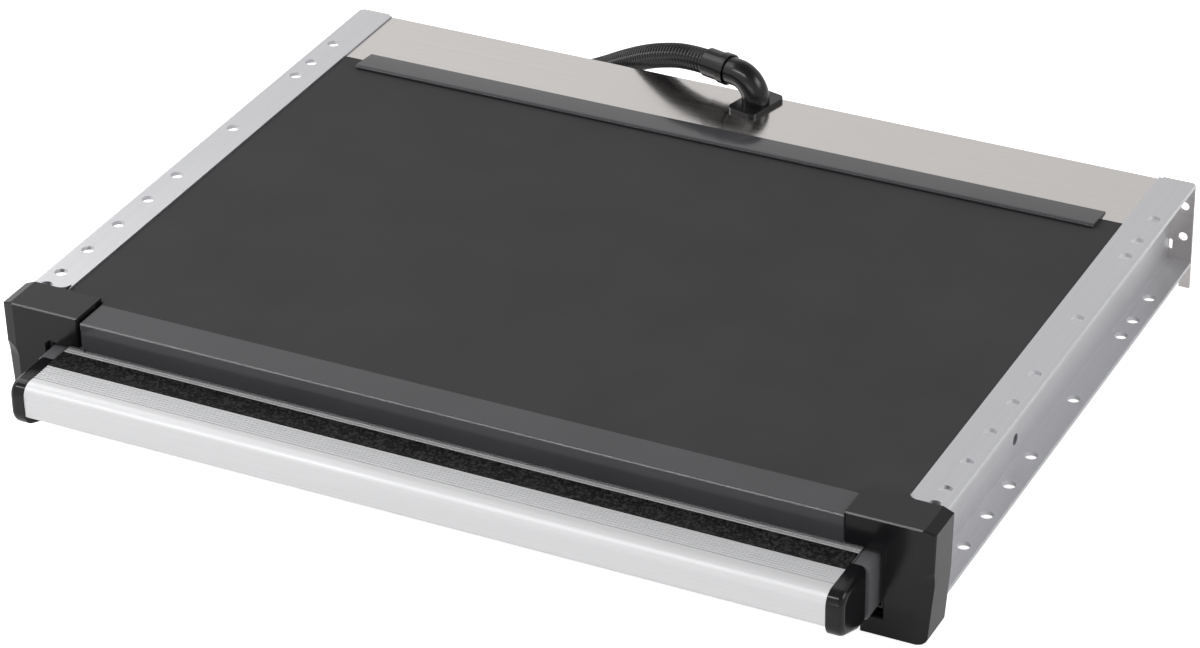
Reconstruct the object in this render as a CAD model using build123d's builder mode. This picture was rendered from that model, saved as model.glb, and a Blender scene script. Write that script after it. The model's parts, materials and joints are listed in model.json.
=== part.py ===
# Powered pull out step for a caravan door, in millimetres.
#
# A flat cassette of two channel rails, a cover, a base pan and a rear member holds a platform
# that slides out to the front on two box arms. A motor gearbox turns one cross shaft, whose
# pinions drive a rack on each arm. X runs to the right, Y to the rear and Z up. The origin is
# the middle of the footprint, on the ground that the end caps and the rear tabs stand on.
from build123d import *

import os
from math import acos, ceil, cos, degrees, pi, radians, sin, sqrt, tan

os.makedirs("parts", exist_ok=True)

# Driving dimensions of the whole step
rail_span = 660.0
body_depth = 486.0
nose_reach = 53.0
rail_height = 65.0
stand_height = 18.0
platform_depth = 259.0
travel_loss = 236.0

# Clearances and cuts
slide_clear = 0.4
seat_clear = 0.3
bush_clear = 0.05
screw_clear = 0.25
thread_clear = 0.05
overrun = 5.0

# Places that follow from the driving dimensions
half_span = rail_span / 2
face_y = nose_reach - (body_depth + nose_reach) / 2
rear_y = (body_depth + nose_reach) / 2
front_y = -rear_y
travel = body_depth - travel_loss
rail_bottom = stand_height
rail_top = stand_height + rail_height


def upright(y):
    """Return the plane across the step at y, seen from the front, X right and Z up."""
    return Plane.XZ.offset(-y)


def lengthwise(x):
    """Return the plane along the step at x, with Y to the right and Z up."""
    return Plane.YZ.offset(x)


def level(z):
    """Return the level plane at z."""
    return Plane.XY.offset(z)


def block(u0, u1, v0, v1, mode=Mode.ADD):
    """Add the rectangle between two corners to the sketch that is open."""
    with Locations(((u0 + u1) / 2, (v0 + v1) / 2)):
        Rectangle(abs(u1 - u0), abs(v1 - v0), mode=mode)


def corner_notches(x0, x1, y0, y1):
    """Cut the same rectangle from both sides of the level sketch that is open."""
    for side in (-1, 1):
        block(side * x0, side * x1, y0, y1, mode=Mode.SUBTRACT)


def outline(*points):
    """Add the closed polygon through the points to the sketch that is open."""
    with BuildLine() as border:
        Polyline(*points, close=True)
    make_face(border.edges())


def through(a, b, c):
    """Return the plane through three points, facing along the cross of a b and a c."""
    a, b, c = Vector(*a), Vector(*b), Vector(*c)
    return Plane(origin=a, x_dir=b - a, z_dir=(b - a).cross(c - a))


def mirrored(solid):
    """Return the part on the left that mirrors one on the right."""
    with BuildPart() as other:
        mirror(solid, about=Plane.YZ)
    return other.part


def save(solid, name):
    """Label a finished piece and write it."""
    solid.label = name
    export_step(solid, f"parts/{name}.step")


def save_pair(solid, name):
    """Write a right hand piece and its mirror image."""
    save(solid, f"right_{name}")
    save(mirrored(solid), f"left_{name}")


# Rails: a channel open to the outside, with ledges for the cover and ribs for the glides
rail_wall = 3.0
flange_width = 26.6
web_inset = 17.1
cover_wall = 1.5
cover_drop = 1.2
ledge_wall = 2.0
ledge_width = 12.0
rib_wall = 2.5
rib_width = 8.4
glide_height = 23.0
glide_lift = 9.5
flange_hole_r = 4.5
flange_hole_inset = 9.5
flange_hole_shares = (0.1235, 0.1914, 0.2387, 0.4247, 0.5837, 0.6630, 0.7428, 0.8228, 0.8928, 0.9313)
service_hole_r = 4.0
service_hole_lift = 19.0
service_hole_share = 0.6041
ear_wall = 1.5
cap_front_wall = 4.2

web_out = half_span - web_inset
web_in = web_out - rail_wall
flange_in = half_span - flange_width
ledge_in = flange_in - ledge_width
ledge_top = rail_top - cover_drop - cover_wall
rib_in = web_in - rib_width
glide_bottom = rail_bottom + glide_lift
glide_top = glide_bottom + glide_height
rib_levels = (glide_bottom - seat_clear - rib_wall, glide_top + seat_clear)
rail_front = face_y + cap_front_wall + seat_clear
rail_rear = rear_y - ear_wall
rail_length = rail_rear - rail_front
hole_x = half_span - flange_hole_inset
hole_ys = [rear_y - share * body_depth for share in flange_hole_shares]
service_y = rear_y - service_hole_share * body_depth

# Base pan and its screws, whose places are gathered here for every piece they hold
pan_wall = 1.5
pan_bottom = rail_bottom - pan_wall
screw_r = 2.0
screw_head_r = 3.6
screw_head = 1.8
pan_rail_shares = (0.08, 0.36, 0.64, 0.92)
lip_screw_x = (flange_in + web_in) / 2
lip_screws = [(lip_screw_x, rail_front + share * rail_length) for share in pan_rail_shares]


def screw_holes(places, radius, depth):
    """Cut upright holes from the pan's top side up into the part that is open."""
    with BuildSketch(level(rail_bottom)) as holes:
        with Locations(*places):
            Circle(radius)
    extrude(holes.sketch, amount=depth, mode=Mode.SUBTRACT)


with BuildPart() as rail:
    with BuildSketch(upright(rail_rear)):
        block(web_in, web_out, rail_bottom, rail_top)
        block(flange_in, half_span, rail_top - rail_wall, rail_top)
        block(flange_in, half_span, rail_bottom, rail_bottom + rail_wall)
        block(ledge_in, web_in, ledge_top - ledge_wall, ledge_top)
        for rib in rib_levels:
            block(rib_in, web_in, rib, rib + rib_wall)
    extrude(amount=rail_length)
    with BuildSketch(level(rail_top)):
        with Locations(*[(hole_x, y) for y in hole_ys]):
            Circle(flange_hole_r)
    extrude(amount=-rail_height, mode=Mode.SUBTRACT)
    with BuildSketch(lengthwise(web_in)):
        with Locations((service_y, rail_bottom + service_hole_lift)):
            Circle(service_hole_r)
    extrude(amount=rail_wall, mode=Mode.SUBTRACT)
    screw_holes(lip_screws, screw_r + thread_clear, rail_wall)
save_pair(rail.part, "rail")

# Front fascia: a hollow black profile between the end caps
fascia_depth = 27.0
fascia_height = 20.0
fascia_drop = 0.8
fascia_wall = 2.2
fascia_round = 1.4
fascia_shift = 0.9
cap_reach = 54.5
cap_gap = 1.7
cap_depth = 31.0
fascia_top = rail_top - fascia_drop
fascia_bottom = fascia_top - fascia_height
fascia_rear = face_y + fascia_depth
cap_rear = face_y + cap_depth
cap_inner_x = half_span - cap_reach
fascia_half = cap_inner_x - cap_gap

with BuildPart() as front_fascia:
    with BuildSketch(lengthwise(fascia_shift - fascia_half)):
        block(face_y, fascia_rear, fascia_bottom, fascia_top)
        offset(amount=-fascia_wall, kind=Kind.INTERSECTION, mode=Mode.SUBTRACT)
    extrude(amount=2 * fascia_half)
    front_edge = edges().filter_by(Axis.X).group_by(Axis.Z)[-1].sort_by(Axis.Y)[0]
    fillet(front_edge, fascia_round)
save(front_fascia.part, "front_fascia")

# Top cover, from the fascia to the rear member
cover_rear_share = 0.15
cover_rear = rear_y - cover_rear_share * body_depth
joint_gap = 0.5
cover_half = flange_in - joint_gap / 2
cover_top = ledge_top + cover_wall

with BuildPart() as top_cover:
    with BuildSketch(level(ledge_top)):
        block(-cover_half, cover_half, fascia_rear, cover_rear)
        corner_notches(cap_inner_x - cap_gap, cover_half, fascia_rear, cap_rear)
    extrude(amount=cover_wall)
save(top_cover.part, "top_cover")

# Rear member: the brushed top plate, folded down into a wall whose ears close the rails
bend_round = 2.4
ear_hole_r = 3.25
ear_hole_inset = 6.8
ear_hole_drops = (18.9, 43.0)
ear_slot_inset = 15.5
ear_slot_drop = 50.6
ear_slot_width = 2.6
ear_slot_height = 8.0
ear_corner_round = 3.0
tab_width = 8.0
notch_width = 3.0
notch_depth = 5.0
fitting_x = 3.5
fitting_inset = 17.9
elbow_bore_r = 7.0
plate_front = cover_rear + joint_gap
fitting_y = rear_y - fitting_inset

with BuildPart() as rear_member:
    with BuildSketch(lengthwise(-cover_half)):
        block(plate_front, rear_y, ledge_top, cover_top)
        block(rear_y - ear_wall, rear_y, pan_bottom, cover_top)
    extrude(amount=2 * cover_half)
    outer_bend = edges().filter_by(Axis.X).group_by(Axis.Z)[-1].sort_by(Axis.Y)[-1]
    fillet(outer_bend, bend_round)
    with BuildSketch(upright(rear_y)):
        block(cover_half, half_span, rail_bottom, rail_top)
        block(half_span - tab_width, half_span, 0, rail_bottom)
        corner = vertices().group_by(Axis.Y)[-1].sort_by(Axis.X)[-1]
        fillet(corner, ear_corner_round)
        with Locations(*[(half_span - ear_hole_inset, rail_top - drop) for drop in ear_hole_drops]):
            Circle(ear_hole_r, mode=Mode.SUBTRACT)
        with Locations((half_span - ear_slot_inset, rail_top - ear_slot_drop)):
            SlotOverall(ear_slot_height, ear_slot_width, rotation=90, mode=Mode.SUBTRACT)
        block(cover_half, cover_half + notch_width, rail_top - notch_depth, rail_top, mode=Mode.SUBTRACT)
        mirror(about=Plane.YZ)
    extrude(amount=ear_wall)
    with BuildSketch(level(cover_top)):
        with Locations((fitting_x, fitting_y)):
            Circle(elbow_bore_r)
    extrude(amount=-cover_wall, mode=Mode.SUBTRACT)
save(rear_member.part, "rear_member")

# Trim strip over the joint of the cover and the rear member, a wedge that thins to the rear
strip_end_gap = 16.4
strip_depth = 25.0
strip_height = 3.2
strip_rear_height = 1.0
strip_lip = 2.5
strip_lip_gap = 0.9
strip_lap_share = 0.6
strip_half = flange_in - strip_end_gap
strip_front = cover_rear - strip_lap_share * strip_depth
strip_rear = strip_front + strip_depth

with BuildPart() as rear_trim_strip:
    with BuildSketch(lengthwise(-strip_half)):
        outline(
            (strip_front, cover_top + strip_lip_gap),
            (strip_front + strip_lip, cover_top + strip_lip_gap),
            (strip_front + strip_lip, cover_top),
            (strip_rear, cover_top),
            (strip_rear, cover_top + strip_rear_height),
            (strip_front + strip_lip, cover_top + strip_height),
            (strip_front, cover_top + strip_height - strip_lip_gap),
        )
    extrude(amount=2 * strip_half)
save(rear_trim_strip.part, "rear_trim_strip")

# Platform levels, used by the caps, guides and everything that slides
tread_top_drop = 24.0
deck_height = 12.0
arm_width = 12.5
arm_height = 38.5
arm_drop = 0.5
arm_setback = 44.0
arm_wall = 2.5
deck_top = rail_top - tread_top_drop
deck_bottom = deck_top - deck_height
arm_top = deck_top - arm_drop
arm_bottom = arm_top - arm_height
arm_inner_x = half_span - arm_setback
arm_out = arm_inner_x + arm_width

# End caps: black mouldings with the slot that the arm slides through
cap_overhang = 5.0
cap_rise = 2.0
cap_waist_taper = 1.2
cap_foot_taper = 4.8
cap_foot_round = 5.0
cap_wall = 3.0
cap_slot_bottom = 14.0
cap_slot_margin = 3.0
cap_slot_bevel = 2.4
cap_edge_width = 9.0
cap_foot_edge_width = 10.5
cap_edge_depth = 2.5
cap_facet_inset = 11.0
cap_facet_run = 7.7
cap_facet_depth = 3.6
cap_facet_lift = 43.0
cap_facet_curve = 33.0
cap_facet_curve_degrees = 40.0
cap_facet_reach = 15.0
cap_corner_web = 7.0
cap_bevel_width = 7.3
cap_bevel_drop = 3.0
spigot_length = 13.0
cap_out = half_span + cap_overhang
cap_top = rail_top + cap_rise
cap_slot_in = arm_inner_x + 2 * seat_clear
cap_slot_out = arm_out + cap_slot_margin
foot_x = cap_out - cap_foot_taper
facet_along = Vector(cap_facet_run, cap_facet_depth, 0).normalized()
facet_side = Plane(
    origin=(cap_out - cap_facet_inset, face_y, 0),
    x_dir=(facet_along.Y, -facet_along.X, 0),
    z_dir=(-facet_along.X, -facet_along.Y, 0),
)

with BuildPart() as end_cap:
    with BuildSketch(upright(cap_rear)):
        outline(
            (cap_inner_x, cap_top),
            (cap_out, cap_top),
            (cap_out - cap_waist_taper, cap_top / 2),
            (foot_x, 0),
            (cap_slot_in, 0),
            (cap_slot_in, cap_slot_bottom),
            (cap_slot_out, cap_slot_bottom),
            (cap_slot_out, fascia_bottom - cap_slot_bevel),
            (cap_slot_out - cap_slot_bevel, fascia_bottom),
            (cap_inner_x, fascia_bottom),
        )
        foot = vertices().group_by(Axis.Y)[0].sort_by(Axis.X)[-1]
        fillet(foot, cap_foot_round)
    extrude(amount=cap_depth)
    edge_plane = through(
        (cap_out - cap_edge_width, face_y, cap_top),
        (cap_out - cap_foot_edge_width, face_y, 0),
        (cap_out, face_y + cap_edge_depth, cap_top),
    )
    split(bisect_by=edge_plane, keep=Keep.BOTTOM)
    bevel_plane = through(
        (cap_out - cap_bevel_width, face_y, cap_top),
        (cap_out, face_y, cap_top - cap_bevel_drop),
        (cap_out - cap_bevel_width, cap_rear, cap_top),
    )
    split(bisect_by=bevel_plane, keep=Keep.BOTTOM)
    # The facet on the lower outer corner, which runs out in a curve at its top
    with BuildSketch(facet_side):
        with BuildLine():
            Line((0, -overrun), (0, cap_facet_lift))
            curve = JernArc((0, cap_facet_lift), (0, 1), cap_facet_curve, -cap_facet_curve_degrees)
            Polyline(curve @ 1, (cap_facet_reach, (curve @ 1).Y), (cap_facet_reach, -overrun), (0, -overrun))
        make_face()
    extrude(amount=cap_depth, both=True, mode=Mode.SUBTRACT)
    # The pocket that takes the rail's front end, and the hollow of the foot
    with BuildSketch(upright(cap_rear)):
        block(ledge_in - seat_clear, half_span + seat_clear, rail_bottom - seat_clear, rail_top + seat_clear)
        block(
            cap_slot_in + cap_wall,
            foot_x - cap_foot_round,
            cap_wall,
            cap_slot_bottom - cap_wall,
        )
    extrude(amount=cap_depth - cap_front_wall, mode=Mode.SUBTRACT)
    # The rounded inner corner over the rail's flange
    with BuildSketch(level(cap_top)):
        block(flange_in, flange_in + cap_corner_web, cap_rear - cap_wall, cap_rear + cap_corner_web)
        with Locations((flange_in + cap_corner_web, cap_rear + cap_corner_web)):
            Circle(cap_corner_web, mode=Mode.SUBTRACT)
    extrude(amount=rail_top + seat_clear - cap_top)
    # The spigot that enters the hollow fascia
    with BuildSketch(lengthwise(cap_inner_x)):
        inset = fascia_wall + seat_clear
        block(face_y + inset, fascia_rear - inset, fascia_bottom + inset, fascia_top - inset)
    extrude(amount=-spigot_length)
save_pair(end_cap.part, "end_cap")

# Front guide: a plastic shoe behind each cap, around three sides of the arm
guide_length = 60.0
guide_pad = 3.0
guide_rear = rail_front + guide_length
guide_out = web_in - seat_clear
guide_in = arm_inner_x + 2 * seat_clear

with BuildPart() as front_guide:
    with BuildSketch(upright(guide_rear)):
        block(guide_in, guide_out, rail_bottom, arm_top + guide_pad)
        block(
            guide_in,
            arm_out + slide_clear,
            arm_bottom - slide_clear,
            arm_top + slide_clear,
            mode=Mode.SUBTRACT,
        )
        for rib in rib_levels:
            block(
                rib_in - seat_clear,
                guide_out,
                rib - seat_clear,
                rib + rib_wall + seat_clear,
                mode=Mode.SUBTRACT,
            )
        block(
            flange_in - seat_clear,
            guide_out,
            rail_bottom,
            rail_bottom + rail_wall + seat_clear,
            mode=Mode.SUBTRACT,
        )
    extrude(amount=guide_length)
save_pair(front_guide.part, "front_guide")

# Arms: box sections that carry the platform
arm_round = 3.0
arm_rear_gap = 20.0
deck_screw_r = 2.0
deck_screw_head_r = 4.0
deck_screw_length = 26.0
deck_port_drop = 4.4
deck_port_r = 3.6
tread_cap_depth = 39.0
deck_setback = 10.5
plank_count = 2
deck_front = face_y + deck_setback
deck_rear = face_y + platform_depth
plank_depth = (deck_rear - deck_front) / plank_count
plank_screw_shares = (0.2, 0.8)
deck_port_z = deck_top - deck_port_drop
deck_screw_ys = [
    deck_front + plank_depth * (index + share)
    for index in range(plank_count)
    for share in plank_screw_shares
]
arm_front = front_y + tread_cap_depth
arm_rear = rail_rear - arm_rear_gap
arm_length = arm_rear - arm_front
glide_length = 42.0
glide_screw_r = 2.0
glide_screw_head_r = 3.8
glide_screw_shares = (0.25, 0.75)
glide_rear = arm_rear
glide_front = glide_rear - glide_length
glide_middle_z = (glide_bottom + glide_top) / 2
glide_screw_ys = [glide_front + share * glide_length for share in glide_screw_shares]


def arm_side(y, z, x=arm_out):
    """Return the plane on the outer side of the right arm, facing outwards."""
    return Plane(origin=(x, y, z), x_dir=(0, 1, 0), z_dir=(1, 0, 0))


with BuildPart() as arm:
    with BuildSketch(upright(arm_rear)):
        block(arm_inner_x, arm_out, arm_bottom, arm_top)
        fillet(vertices(), arm_round)
        block(
            arm_inner_x + arm_wall,
            arm_out - arm_wall,
            arm_bottom + arm_wall,
            arm_top - arm_wall,
            mode=Mode.SUBTRACT,
        )
    extrude(amount=arm_length)
    with Locations(*[arm_side(y, deck_port_z) for y in deck_screw_ys]):
        CounterSinkHole(
            radius=deck_screw_r + screw_clear,
            counter_sink_radius=deck_screw_head_r + screw_clear,
            depth=arm_width,
            counter_sink_angle=90,
        )
    with Locations(*[arm_side(y, glide_middle_z) for y in glide_screw_ys]):
        Hole(radius=glide_screw_r + thread_clear, depth=arm_width)
save_pair(arm.part, "arm")

# Rear glides: plastic blocks on the arms that run between the rail's ribs
glide_bevel = 3.0
glide_out = web_in - slide_clear

with BuildPart() as rear_glide:
    with BuildSketch(level(glide_bottom)):
        outline(
            (arm_out, glide_front),
            (glide_out - glide_bevel, glide_front),
            (glide_out, glide_front + glide_bevel),
            (glide_out, glide_rear - glide_bevel),
            (glide_out - glide_bevel, glide_rear),
            (arm_out, glide_rear),
        )
    extrude(amount=glide_height)
    with Locations(*[arm_side(y, glide_middle_z, glide_out) for y in glide_screw_ys]):
        CounterSinkHole(
            radius=glide_screw_r + screw_clear,
            counter_sink_radius=glide_screw_head_r + screw_clear,
            counter_sink_angle=90,
        )
save_pair(rear_glide.part, "rear_glide")


def countersunk_screw(plane, radius, head_r, length):
    """Add one countersunk screw whose head is flush with the plane."""
    with BuildSketch(plane) as shank:
        Circle(radius)
    extrude(shank.sketch, amount=-length)
    with BuildSketch(plane) as head_top:
        Circle(head_r)
    with BuildSketch(plane.offset(radius - head_r)) as head_foot:
        Circle(radius)
    loft([head_top.sketch.face(), head_foot.sketch.face()], ruled=True)


# Stops: an end stop in each rail for the glide, and a rubber bumper behind each arm
stop_length = 14.0
bumper_r = 6.0
bumper_nose = 2.0
stop_rear = glide_front - travel - seat_clear

with BuildPart() as end_stop:
    with BuildSketch(upright(stop_rear)):
        block(arm_out + slide_clear, web_in, glide_bottom, glide_top)
    extrude(amount=stop_length)
save_pair(end_stop.part, "end_stop")

with BuildPart() as rear_bumper:
    with BuildSketch(upright(rear_y - ear_wall)):
        with Locations(((arm_inner_x + arm_out) / 2, (arm_bottom + arm_top) / 2)):
            Circle(bumper_r)
    extrude(amount=arm_rear_gap - seat_clear)
    fillet(edges().sort_by(Axis.Y)[0], bumper_nose)
save_pair(rear_bumper.part, "rear_bumper")

# Tread nose: the ribbed aluminium extrusion in front, with a recess for the grip tape
nose_half = arm_inner_x
nose_inset = 0.8
nose_height = 24.0
nose_round = 8.5
nose_foot_round = 2.0
nose_wall = 2.4
nose_gap = 7.0
tape_gap = 2.6
tape_width = 19.4
tape_depth = 0.9
tape_proud = 0.3
rib_pitch = 2.4
rib_groove = 1.0
rib_groove_depth = 0.6
front_groove_count = 6
rear_groove_count = 4
shadow_groove_depth = 1.0
nose_front = front_y + nose_inset
nose_deep_rear = face_y - nose_gap
tape_rear = face_y - tape_gap
tape_front = tape_rear - tape_width
nose_bottom = deck_top - nose_height


def grooves(start, count, surface, depth):
    """Cut a row of fine grooves into the top of the profile that is open."""
    with Locations(*[(start + index * rib_pitch, surface) for index in range(count)]):
        Rectangle(rib_groove, 2 * depth, mode=Mode.SUBTRACT)


with BuildPart() as tread_nose:
    with BuildSketch(lengthwise(-nose_half)):
        outline(
            (nose_front, nose_bottom),
            (nose_deep_rear, nose_bottom),
            (nose_deep_rear, deck_bottom),
            (deck_front, deck_bottom),
            (deck_front, deck_top),
            (nose_front, deck_top),
        )
        nose_corners = vertices().group_by(Axis.X)[0]
        fillet(nose_corners.sort_by(Axis.Y)[-1], nose_round)
        fillet(vertices().group_by(Axis.Y)[0].sort_by(Axis.X)[0], nose_foot_round)
        offset(amount=-nose_wall, kind=Kind.INTERSECTION, mode=Mode.SUBTRACT)
        grooves(tape_front - rib_pitch * front_groove_count, front_groove_count, deck_top, rib_groove_depth)
        grooves(tape_front - rib_pitch * (front_groove_count + 1), 1, deck_top, shadow_groove_depth)
        grooves(tape_rear + rib_groove, rear_groove_count, deck_top, rib_groove_depth)
        block(tape_front, tape_rear, deck_top - tape_depth, deck_top + overrun, mode=Mode.SUBTRACT)
    extrude(amount=2 * nose_half)
save(tread_nose.part, "tread_nose")

with BuildPart() as grip_tape:
    with BuildSketch(lengthwise(-nose_half)):
        block(
            tape_front + seat_clear,
            tape_rear - seat_clear,
            deck_top - tape_depth,
            deck_top + tape_proud,
        )
    extrude(amount=2 * nose_half)
save(grip_tape.part, "grip_tape")

# Tread caps: black ends that follow the nose's side profile, with a lip beneath the nose
tread_cap_width = 11.5
tread_cap_proud = 0.3
tread_cap_nose_round = 10.0
tread_cap_foot_round = 12.0
tread_cap_foot_drop = 5.0
tread_cap_edge_round = 4.5
tread_cap_lip = 7.0
tread_cap_lip_wall = 2.0
tread_cap_lip_depth = 24.0

with BuildPart() as tread_cap:
    with BuildSketch(lengthwise(arm_inner_x)):
        outline(
            (arm_front, deck_top + tread_cap_proud),
            (front_y, deck_top + tread_cap_proud),
            (front_y, nose_bottom - tread_cap_foot_drop),
            (arm_front - tread_cap_depth / 3, arm_bottom),
            (arm_front, arm_bottom),
        )
        front_corners = vertices().group_by(Axis.X)[0].sort_by(Axis.Y)
        fillet(front_corners[-1], tread_cap_nose_round)
        fillet(vertices().group_by(Axis.X)[0].sort_by(Axis.Y)[0], tread_cap_foot_round)
    extrude(amount=tread_cap_width)
    outer_edges = edges().group_by(Axis.X)[-1]
    fillet(outer_edges, tread_cap_edge_round)
    with BuildSketch(lengthwise(arm_inner_x)):
        block(
            nose_deep_rear - tread_cap_lip_depth,
            nose_deep_rear,
            nose_bottom - tread_cap_lip_wall,
            nose_bottom,
        )
    extrude(amount=-tread_cap_lip)
save_pair(tread_cap.part, "tread_cap")

# Racks and pinions, with straight sided rack teeth and involute pinion teeth
module = 1.5
pinion_teeth = 13
pressure_degrees = 25.0
pressure_angle = radians(pressure_degrees)
backlash = 0.16
rack_width = 10.5
rack_back = 8.0
rack_margin_teeth = 3
pinion_width = 9.5
pinion_hub_r = 9.0
pinion_side_gap = 0.7
shaft_r = 6.0
shaft_lift = 14.0
tooth_pitch = pi * module
pitch_r = module * pinion_teeth / 2
base_r = pitch_r * cos(pressure_angle)
root_r = pitch_r - 1.25 * module
tip_r = pitch_r + module
shaft_y = service_y
shaft_z = rail_bottom + shaft_lift
rack_pitch_z = shaft_z + pitch_r
rack_root_z = rack_pitch_z + 1.25 * module
rack_tip_z = rack_pitch_z - module
rack_top = rack_root_z + rack_back
rack_teeth = 2 * rack_margin_teeth + ceil(travel / tooth_pitch)
rack_front = shaft_y - rack_margin_teeth * tooth_pitch
rack_rear = rack_front + rack_teeth * tooth_pitch
rack_in = arm_inner_x - rack_width
half_tooth = tooth_pitch / 4 - backlash / 2
root_half = half_tooth + (rack_root_z - rack_pitch_z) * tan(pressure_angle)
tip_half = half_tooth - (rack_pitch_z - rack_tip_z) * tan(pressure_angle)

with BuildPart() as rack:
    with BuildSketch(lengthwise(rack_in)):
        block(rack_front, rack_rear, rack_root_z, rack_top)
        for index in range(rack_teeth):
            tooth_y = rack_front + (index + 0.5) * tooth_pitch
            outline(
                (tooth_y - root_half, rack_root_z),
                (tooth_y - tip_half, rack_tip_z),
                (tooth_y + tip_half, rack_tip_z),
                (tooth_y + root_half, rack_root_z),
            )
    extrude(amount=rack_width)
save_pair(rack.part, "rack")


def involute(radius):
    """Return the roll of the involute at a radius, as an angle."""
    slope = acos(base_r / radius)
    return tan(slope) - slope


def flank_point(radius, side):
    """Return a point of a tooth flank, with the tooth centred on the sketch's Y axis."""
    half_angle = half_tooth / pitch_r + involute(pitch_r) - involute(max(radius, base_r))
    return (side * radius * sin(half_angle), radius * cos(half_angle))


flank_shares = (0.0, 0.34, 0.67, 1.0)
flank_radii = [base_r + share * (tip_r - base_r) for share in flank_shares]
pinion_out = arm_inner_x - pinion_side_gap
pinion_in = pinion_out - pinion_width
hub_length = 7.0
pin_r = 1.5
pin_x = pinion_in - hub_length / 2
hub_r = min(pinion_hub_r, root_r)

with BuildPart() as pinion:
    with BuildSketch(lengthwise(pinion_in)):
        Circle(root_r)
        with BuildSketch(Plane.XY, mode=Mode.PRIVATE) as tooth:
            with BuildLine():
                left_flank = Spline(*[flank_point(radius, -1) for radius in flank_radii])
                right_flank = Spline(*[flank_point(radius, 1) for radius in flank_radii])
                Line(left_flank @ 1, right_flank @ 1)
                Polyline(left_flank @ 0, (0, root_r / 2), right_flank @ 0)
            make_face()
        with PolarLocations(0, pinion_teeth):
            add(tooth.sketch)
    extrude(amount=pinion_width)
    with BuildSketch(lengthwise(pinion_in)):
        Circle(hub_r)
    extrude(amount=-hub_length)
    with BuildSketch(lengthwise(pinion_out)):
        Circle(shaft_r + thread_clear)
    extrude(amount=-pinion_width - hub_length, mode=Mode.SUBTRACT)
    with BuildSketch(level(0)):
        with Locations((pin_x, 0)):
            Circle(pin_r + thread_clear)
    extrude(amount=pitch_r, both=True, mode=Mode.SUBTRACT)
pinion_right = pinion.part.moved(Location((0, shaft_y, shaft_z)))
save_pair(pinion_right, "pinion")

with BuildPart() as cross_shaft:
    with BuildSketch(lengthwise(-pinion_out)):
        with Locations((shaft_y, shaft_z)):
            Circle(shaft_r)
    extrude(amount=2 * pinion_out)
    with BuildSketch(level(shaft_z)):
        with Locations((-pin_x, shaft_y), (pin_x, shaft_y)):
            Circle(pin_r + thread_clear)
    extrude(amount=pitch_r, both=True, mode=Mode.SUBTRACT)
save(cross_shaft.part, "cross_shaft")

with BuildPart() as pinion_pins:
    with BuildSketch(level(shaft_z)):
        with Locations((-pin_x, shaft_y), (pin_x, shaft_y)):
            Circle(pin_r)
    extrude(amount=hub_r - thread_clear, both=True)
save(pinion_pins.part, "pinion_pins")

# Bearing brackets on the pan and the flanged bushes in them
bracket_wall = 8.0
bracket_gap = 2.0
bracket_foot = 22.0
bracket_foot_wall = 5.0
bracket_half = 16.0
bracket_head_r = 12.0
bush_r = 8.0
bush_flange_r = 10.0
bush_flange = 1.5
bracket_out = pinion_in - hub_length - bracket_gap
bracket_in = bracket_out - bracket_wall
bracket_screw_x = bracket_in - bracket_foot / 2
bracket_screw_ys = (shaft_y - bracket_half / 2, shaft_y + bracket_half / 2)
bracket_screws = [(bracket_screw_x, y) for y in bracket_screw_ys]

with BuildPart() as bearing_bracket:
    with BuildSketch(lengthwise(bracket_in)):
        with Locations((shaft_y, shaft_z)):
            Circle(bracket_head_r)
        outline(
            (shaft_y - bracket_half, rail_bottom),
            (shaft_y + bracket_half, rail_bottom),
            (shaft_y + bracket_half, rail_bottom + bracket_foot_wall),
            (shaft_y + bracket_head_r, shaft_z),
            (shaft_y - bracket_head_r, shaft_z),
            (shaft_y - bracket_half, rail_bottom + bracket_foot_wall),
        )
        with Locations((shaft_y, shaft_z)):
            Circle(bush_r + thread_clear, mode=Mode.SUBTRACT)
    extrude(amount=bracket_wall)
    with BuildSketch(level(rail_bottom)):
        block(bracket_in - bracket_foot, bracket_in, shaft_y - bracket_half, shaft_y + bracket_half)
    extrude(amount=bracket_foot_wall)
    screw_holes(bracket_screws, screw_r + thread_clear, bracket_foot_wall)
save_pair(bearing_bracket.part, "bearing_bracket")

with BuildPart() as shaft_bush:
    with BuildSketch(lengthwise(bracket_in)):
        with Locations((shaft_y, shaft_z)):
            Circle(bush_r)
            Circle(shaft_r + bush_clear, mode=Mode.SUBTRACT)
    extrude(amount=bracket_wall)
    with BuildSketch(lengthwise(bracket_out)):
        with Locations((shaft_y, shaft_z)):
            Circle(bush_flange_r)
            Circle(shaft_r + bush_clear, mode=Mode.SUBTRACT)
    extrude(amount=bush_flange)
save_pair(shaft_bush.part, "shaft_bush")

# Drive unit: a flat spur gearbox whose low front end holds the shaft, and a motor behind it
gearbox_width = 18.0
gearbox_cover_wall = 8.0
gearbox_hub_r = 13.0
gearbox_rear = 62.0
gearbox_low = 27.5
gearbox_tall = 56.0
gearbox_round = 5.0
gearbox_neck_gap = 4.0
gearbox_screw_r = 1.5
gearbox_screw_head_r = 2.8
gearbox_screw_head = 2.0
gearbox_boss_inset = 7.0
motor_r = 20.0
motor_length = 90.5
motor_cap_length = 12.0
motor_pole_flat = 1.2
gearbox_x = fitting_x + motor_cap_length / 2 + motor_length
gearbox_neck_y = deck_rear + gearbox_neck_gap
gearbox_end_y = gearbox_neck_y + gearbox_rear
gearbox_low_z = rail_bottom + gearbox_low
gearbox_tall_z = rail_bottom + gearbox_tall
motor_y = gearbox_end_y - gearbox_rear / 2
motor_z = rail_bottom + gearbox_tall / 2
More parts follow.
